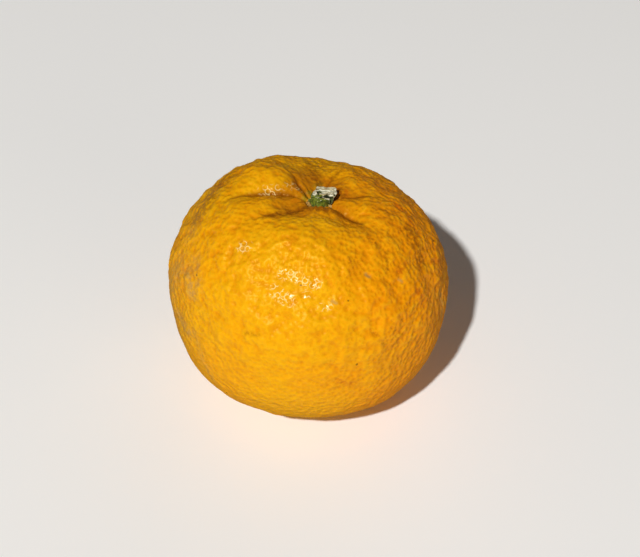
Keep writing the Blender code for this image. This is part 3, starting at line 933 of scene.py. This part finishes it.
def gland_distances(graph):
    """How far the nearest two glands' middles are."""
    places = [graph.attribute(f"gland_{rank}", "Vector") for rank in range(GLANDS_NEAR)]
    first, *others = [graph.distance(graph.place, place) for place in places]
    second = 1.0
    for distance in others:
        second = graph.math("MINIMUM", second, graph.math("MAXIMUM", first, distance))
        first = graph.math("MINIMUM", first, distance)
    return first, second


GOLD = (0.80, 0.370, 0.002, 1)
ORANGE = (0.83, 0.286, 0.0015, 1)
BROWN_AND_SHADE = (0.44, 0.122, 0.003, 1)
PIT_TONE = (0.58, 0.20, 0.002, 1)
HOLLOW_SHADE = (0.64, 0.185, 0.002, 1)
RIDGE_HIGHLIGHT = (0.88, 0.46, 0.008, 1)
STAIN_AND_SHADE = (0.25, 0.072, 0.003, 1)
RED_AND_SHADOW = (0.50, 0.095, 0.004, 1)
SCUFF = (0.50, 0.27, 0.065, 1)
OLIVE = (0.34, 0.25, 0.012, 1)
SPECK = (0.12, 0.05, 0.004, 1)
GLINT_RING_PAINT = (0.98, 0.80, 0.36, 1)
# Where across the fruit gold turns to orange, and the sizes of its patches, its marks' ragged edges,
# its grain and the distance between its dark specks
ORANGE_FROM = (-2 * MM, 27 * MM)
BROAD_PATCH = 18 * MM
SMALL_PATCH = 3.2 * MM
RAGGED = 1.1 * MM
GRAIN = 0.35 * MM
GRAIN_SHARE = 0.08
SPECK_SPACING = 7 * MM
# The width of the ridges between glands, which get a painted highlight, the half width of the painted
# highlight rings round the glands, from full to nothing, and the size of the rings' patches
RIM_WIDTH = 0.4 * MM
RING_HALF_WIDTH = (0.05 * MM, 0.14 * MM)
RING_PATCH = 1.6 * MM


def rind_colour(graph, nearest, rim):
    """Gold on the left to orange on the right, with painted shade in the hollows and creases, painted
    highlight on the ridges and glint rings, and marked.
    """
    broad = graph.noise(BROAD_PATCH, detail=3)
    patchy = graph.noise(SMALL_PATCH, detail=3)
    side = graph.node("ShaderNodeSeparateXYZ", {0: graph.place}).outputs["X"]
    lean = graph.remap(side, *ORANGE_FROM)
    hue = graph.math("ADD", lean, graph.remap(broad, 0.35, 0.65, -0.2, 0.3), clamp=True)
    colour = graph.mix(hue, GOLD, ORANGE)
    pit = graph.remap(nearest, 0.0, GLAND_RADIUS, 1.0, 0.0)
    pit = graph.math("MULTIPLY", pit, graph.remap(hue, 0.0, 1.0, 0.12, 0.40))
    colour = graph.mix(pit, colour, PIT_TONE)
    # Painted highlight: paler on the ridges between glands
    colour = graph.mix(graph.math("MULTIPLY", rim, 0.25), colour, RIDGE_HIGHLIGHT)
    colour = graph.mix(graph.remap(patchy, 0.45, 0.72, 0.0, 0.10), colour, BROWN_AND_SHADE)
    lump = graph.attribute("lump")
    # Painted shade in the small lumps' hollows and painted highlight on their crests
    colour = graph.mix(graph.remap(lump, 0.52, 0.10, 0.0, 0.42), colour, HOLLOW_SHADE)
    colour = graph.mix(graph.remap(lump, 0.52, 0.90, 0.0, 0.35), colour, RIDGE_HIGHLIGHT)
    # Painted shade: darker brown down in the dimple, the furrows and the blossom end's hollow; the patches
    # above are random brown
    colour = graph.mix(graph.remap(graph.attribute("depth"), 0.45, 1.2, 0.0, 0.65), colour, BROWN_AND_SHADE)
    # Painted shade along the furrows' creases, and the blossom end's scar
    colour = graph.mix(graph.remap(graph.attribute("crease"), 0.15, 0.8, 0.0, 0.85), colour, STAIN_AND_SHADE)
    ragged = graph.remap(graph.noise(RAGGED, detail=4, roughness=0.6), 0.30, 0.70, 0.25, 1.0)
    # Olive tints and scuffs; the stain and red marks are partly real stains and spots and partly painted
    # shade and shadow
    for kind, tone in (("olive", OLIVE), ("red_and_shadow", RED_AND_SHADOW), ("stain_and_shade", STAIN_AND_SHADE), ("scuff", SCUFF)):
        share = graph.math("MULTIPLY", graph.attribute(kind), ragged)
        colour = graph.mix(graph.remap(share, 0.05, 0.65, 0.0, 0.75), colour, tone)
    # Painted highlight: pale glint rings round the glands where the shine marks say the rind is glossy
    ring = graph.math("ABSOLUTE", graph.math("SUBTRACT", nearest, GLAND_RADIUS))
    ring = graph.remap(ring, *RING_HALF_WIDTH, 1.0, 0.0)
    glint_share = graph.remap(graph.attribute("gloss_and_glint"), 0.35, 0.75, 0.0, 0.68)
    glint_share = graph.math("MULTIPLY", glint_share, graph.remap(graph.noise(RING_PATCH), 0.36, 0.56))
    colour = graph.mix(graph.math("MULTIPLY", ring, glint_share), colour, GLINT_RING_PAINT)
    return graph.mix(graph.remap(graph.cells(SPECK_SPACING), 0.035, 0.060, 0.8, 0.0), colour, SPECK)


def rind_material():
    graph = Graph("yuzu_rind")
    nearest, second = gland_distances(graph)
    apart = graph.math("SUBTRACT", second, nearest)
    rim = graph.remap(apart, 0.0, RIM_WIDTH, 1.0, 0.0)
    crest = graph.math("MAXIMUM", graph.math("SUBTRACT", 1.0, graph.math("DIVIDE", apart, RIDGE_ROUND)), 0.0)
    rounding = graph.math("MULTIPLY", graph.math("MULTIPLY", crest, crest), RIDGE_ROUND / 4 / GLAND_RADIUS)
    height = graph.math("SUBTRACT", graph.math("DIVIDE", nearest, GLAND_RADIUS), rounding)
    height = graph.math("ADD", height, graph.math("MULTIPLY", graph.noise(GRAIN), GRAIN_SHARE))
    normal = graph.relief(height, GLAND_DENT)
    graph.set(Base_Color=rind_colour(graph, nearest, rim), Normal=normal)
    graph.set(Roughness=0.36, Coat_Weight=graph.remap(graph.attribute("gloss_and_glint"), 0.3, 0.8, 0.0, 0.22))
    graph.set(Coat_Roughness=0.15, Coat_Normal=normal)
    graph.set(Subsurface_Weight=0.12, Subsurface_Radius=(1.0, 0.45, 0.1), Subsurface_Scale=0.0008)
    graph.set(IOR=1.45, Specular_IOR_Level=0.24, Specular_Tint=(1.0, 0.74, 0.24, 1))
    return graph.material


GREEN = (0.19, 0.225, 0.016, 1)
GREEN_DARK = (0.050, 0.075, 0.008, 1)
DRY_TAN = (0.62, 0.36, 0.09, 1)
DRY_BROWN = (0.22, 0.11, 0.025, 1)
FLECK = (0.90, 0.90, 0.62, 1)
FLECK_SPACING = 0.45 * MM
FLECK_PATCH = 0.8 * MM
CALYX_MOTTLE = 0.7 * MM
TAN_MOTTLE = 0.35 * MM
CALYX_MICRO = 0.15 * MM
CALYX_RELIEF = 0.08 * MM


def flecked(graph, colour):
    """Scattered pale flecks on a colour."""
    fleck = graph.remap(graph.cells(FLECK_SPACING), 0.14, 0.24, 1.0, 0.0)
    chosen = graph.remap(graph.noise(FLECK_PATCH), 0.47, 0.55)
    return graph.mix(graph.math("MULTIPLY", fleck, chosen), colour, FLECK)


def calyx_material():
    graph = Graph("yuzu_calyx")
    mottle = graph.noise(CALYX_MOTTLE, detail=4)
    colour = flecked(graph, graph.mix(graph.remap(mottle, 0.38, 0.62), GREEN_DARK, GREEN))
    tan = graph.mix(graph.remap(graph.noise(TAN_MOTTLE, detail=3), 0.42, 0.66), DRY_TAN, DRY_BROWN)
    colour = graph.mix(graph.remap(graph.attribute("dry"), 0.25, 0.75), colour, tan)
    normal = graph.relief(graph.noise(CALYX_MICRO, detail=3), CALYX_RELIEF, 0.8)
    graph.set(Base_Color=colour, Normal=normal, Roughness=0.6, Specular_IOR_Level=0.3)
    return graph.material


WOOD_PALE = (0.88, 0.85, 0.66, 1)
WOOD_GREY = (0.36, 0.36, 0.24, 1)
WOOD_TAN = (0.66, 0.53, 0.27, 1)
WOOD_STREAK = (0.17, 0.12, 0.05, 1)
SHADE_GREEN = (0.05, 0.06, 0.012, 1)
HEART_BLACK_AND_GAP_SHADE = (0.012, 0.012, 0.004, 1)
# The sizes of the stem's patches, and how its fibres are drawn out across the view
STEM_MOTTLE = 0.6 * MM
BARK_MOTTLE = 0.5 * MM
HEART_MOTTLE = 0.35 * MM
FIBRE = 0.14 * MM
STREAK = 0.30 * MM
TAN_STREAK = 0.5 * MM
FIBRE_STRETCH = (0.12, 1.0, 0.5)
FIBRE_RELIEF = 0.25 * MM


def stem_material():
    graph = Graph("yuzu_stem")
    mottle = graph.noise(STEM_MOTTLE, detail=4)
    green = flecked(graph, graph.mix(graph.remap(mottle, 0.36, 0.60), GREEN_DARK, GREEN))
    bark = graph.mix(graph.remap(graph.noise(BARK_MOTTLE), 0.45, 0.70), WOOD_PALE, WOOD_GREY)
    side = graph.mix(graph.remap(graph.attribute("bark"), 0.3, 0.7), green, bark)
    # Painted shade: darker green on the stub's right side
    side = graph.mix(graph.remap(graph.attribute("shade"), 0.3, 0.8, 0.0, 0.85), side, SHADE_GREEN)
    stretched = graph.node("ShaderNodeMapping", {"Vector": graph.place, "Scale": FIBRE_STRETCH}).outputs[0]
    fibre = graph.noise(FIBRE, detail=3, place=stretched)
    wood = graph.mix(graph.remap(fibre, 0.40, 0.60), WOOD_PALE, WOOD_GREY)
    streak = graph.noise(STREAK, detail=4, place=stretched)
    wood = graph.mix(graph.remap(streak, 0.50, 0.60), wood, WOOD_STREAK)
    tan = graph.noise(TAN_STREAK, place=stretched)
    wood = graph.mix(graph.remap(tan, 0.48, 0.60, 0.0, 0.6), wood, WOOD_TAN)
    mottled = graph.mix(graph.remap(graph.noise(HEART_MOTTLE, detail=3), 0.42, 0.56), HEART_BLACK_AND_GAP_SHADE, green)
    wood = graph.mix(graph.remap(graph.attribute("heart"), 0.30, 0.55), wood, mottled)
    # Painted shade: the torn gaps turn dark green, then near black, as they deepen
    wood = graph.mix(graph.remap(graph.attribute("gap_shade"), 0.05, 0.25), wood, SHADE_GREEN)
    wood = graph.mix(graph.remap(graph.attribute("gap_shade"), 0.25, 0.55), wood, HEART_BLACK_AND_GAP_SHADE)
    colour = graph.mix(graph.attribute("torn"), side, wood)
    normal = graph.relief(fibre, FIBRE_RELIEF)
    graph.set(Base_Color=colour, Normal=normal, Roughness=0.75, Specular_IOR_Level=0.3)
    return graph.material


# The photograph's camera: it looks along +Y, from above
CAMERA_ELEVATION = math.radians(42)
CAMERA_DISTANCE = 0.40
CAMERA_AIM = Vector((0.0029, 0.0, 0.0301))
LENS = 90
SENSOR = 36


def around(aim, azimuth, elevation, distance):
    """A point at this azimuth from +X towards +Y, elevation and distance from aim."""
    flat = distance * math.cos(elevation)
    return aim + Vector((flat * math.cos(azimuth), flat * math.sin(azimuth), distance * math.sin(elevation)))


def looking(made, place, aim):
    """Puts a camera or lamp at a place, turned to its aim."""
    made.location = place
    made.rotation_euler = (aim - place).to_track_quat("-Z", "Y").to_euler()
    bpy.context.scene.collection.objects.link(made)


def make_camera():
    data = bpy.data.cameras.new("camera")
    data.lens = LENS
    data.sensor_width = SENSOR
    camera = bpy.data.objects.new("camera", data)
    looking(camera, around(CAMERA_AIM, math.radians(-90), CAMERA_ELEVATION, CAMERA_DISTANCE), CAMERA_AIM)
    bpy.context.scene.camera = camera


Lamp = namedtuple("Lamp", "name azimuth elevation distance size power glossy colour")
LAMPS = (
    Lamp("key", -112, 48, 3.0, 0.12, 88.0, True, (1.0, 0.98, 0.94)),
    Lamp("back_fill", 65, 22, 2.4, 2.0, 5.2, False, (1.0, 0.88, 0.76)),
    Lamp("front_fill", -55, 3, 2.4, 2.0, 15.0, False, (1.0, 0.94, 0.84)),
)
LAMP_AIM = Vector((0, 0, 0.03))
SKY_COLOUR = (0.96, 0.85, 0.82, 1)
SKY_STRENGTH = 0.045
FLOOR_HALF = 3.0
FLOOR_COLOUR = (0.93, 0.94, 0.95, 1)
FLOOR_ROUGHNESS = 0.9


def make_lights():
    for lamp in LAMPS:
        data = bpy.data.lights.new(lamp.name, "AREA")
        data.shape = "DISK"
        data.size = lamp.size
        data.energy = lamp.power
        data.color = lamp.colour
        place = around(LAMP_AIM, math.radians(lamp.azimuth), math.radians(lamp.elevation), lamp.distance)
        made = bpy.data.objects.new(lamp.name, data)
        made.visible_glossy = lamp.glossy
        looking(made, place, LAMP_AIM)
    world = bpy.data.worlds.new("studio")
    world.use_nodes = True
    background = world.node_tree.nodes["Background"]
    background.inputs["Color"].default_value = SKY_COLOUR
    background.inputs["Strength"].default_value = SKY_STRENGTH
    bpy.context.scene.world = world
    bpy.context.scene.view_settings.view_transform = "Standard"


def make_floor():
    mesh = bpy.data.meshes.new("floor")
    corners = [(x * FLOOR_HALF, y * FLOOR_HALF, 0) for x, y in ((-1, -1), (1, -1), (1, 1), (-1, 1))]
    mesh.from_pydata(corners, [], [(0, 1, 2, 3)])
    floor = bpy.data.objects.new("floor", mesh)
    bpy.context.scene.collection.objects.link(floor)
    material = bpy.data.materials.new("floor")
    material.use_nodes = True
    shader = material.node_tree.nodes["Principled BSDF"]
    shader.inputs["Base Color"].default_value = FLOOR_COLOUR
    shader.inputs["Roughness"].default_value = FLOOR_ROUGHNESS
    mesh.materials.append(material)
    floor.visible_glossy = False


def finish_piece(piece, material, node):
    """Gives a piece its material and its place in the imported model."""
    piece.data.materials.append(material)
    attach(piece, BODY)
    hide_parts(node)


def main():
    make_camera()
    make_lights()
    make_floor()
    rind, placing = make_rind()
    finish_piece(rind, rind_material(), "fruit")
    floor = float(rind_height(np.zeros(1), np.zeros(1))[0])
    finish_piece(make_calyx(placing, floor), calyx_material(), "calyx")
    finish_piece(make_stem(placing, floor), stem_material(), "stem")


main()
